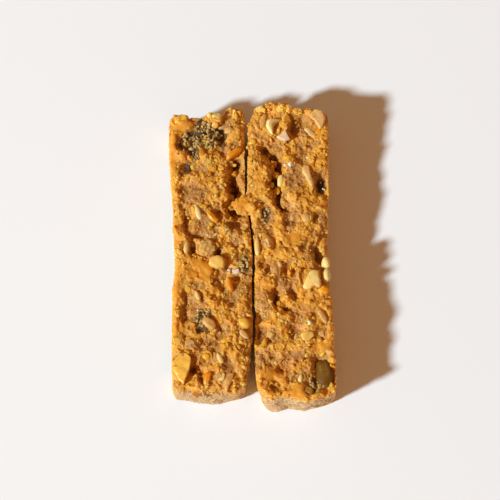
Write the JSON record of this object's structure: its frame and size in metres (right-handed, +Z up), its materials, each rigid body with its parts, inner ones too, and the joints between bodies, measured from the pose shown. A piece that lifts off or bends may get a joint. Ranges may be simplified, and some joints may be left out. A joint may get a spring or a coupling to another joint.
{
  "type": "nut butter bar, broken open lengthwise",
  "caption": "Block of nut butter dough broken open lengthwise into two long halves that lie side by side, torn craggy faces up, with nuts and seeds standing out.",
  "frame": {"origin": "middle of the bounding box, on the surface that the bar lies on", "axes": "+Z up, out of the torn faces; +Y along the bar, towards its back end; +X from the left half to the right half"},
  "size_m": [0.0506, 0.0944, 0.0169],
  "materials": {
    "dough_left": "rough, slightly oily",
    "dough_right": "rough, slightly oily"
  },
  "bodies": {
    "root": {"half_left": "dough_left", "half_right": "dough_right"}
  },
  "joints": []
}
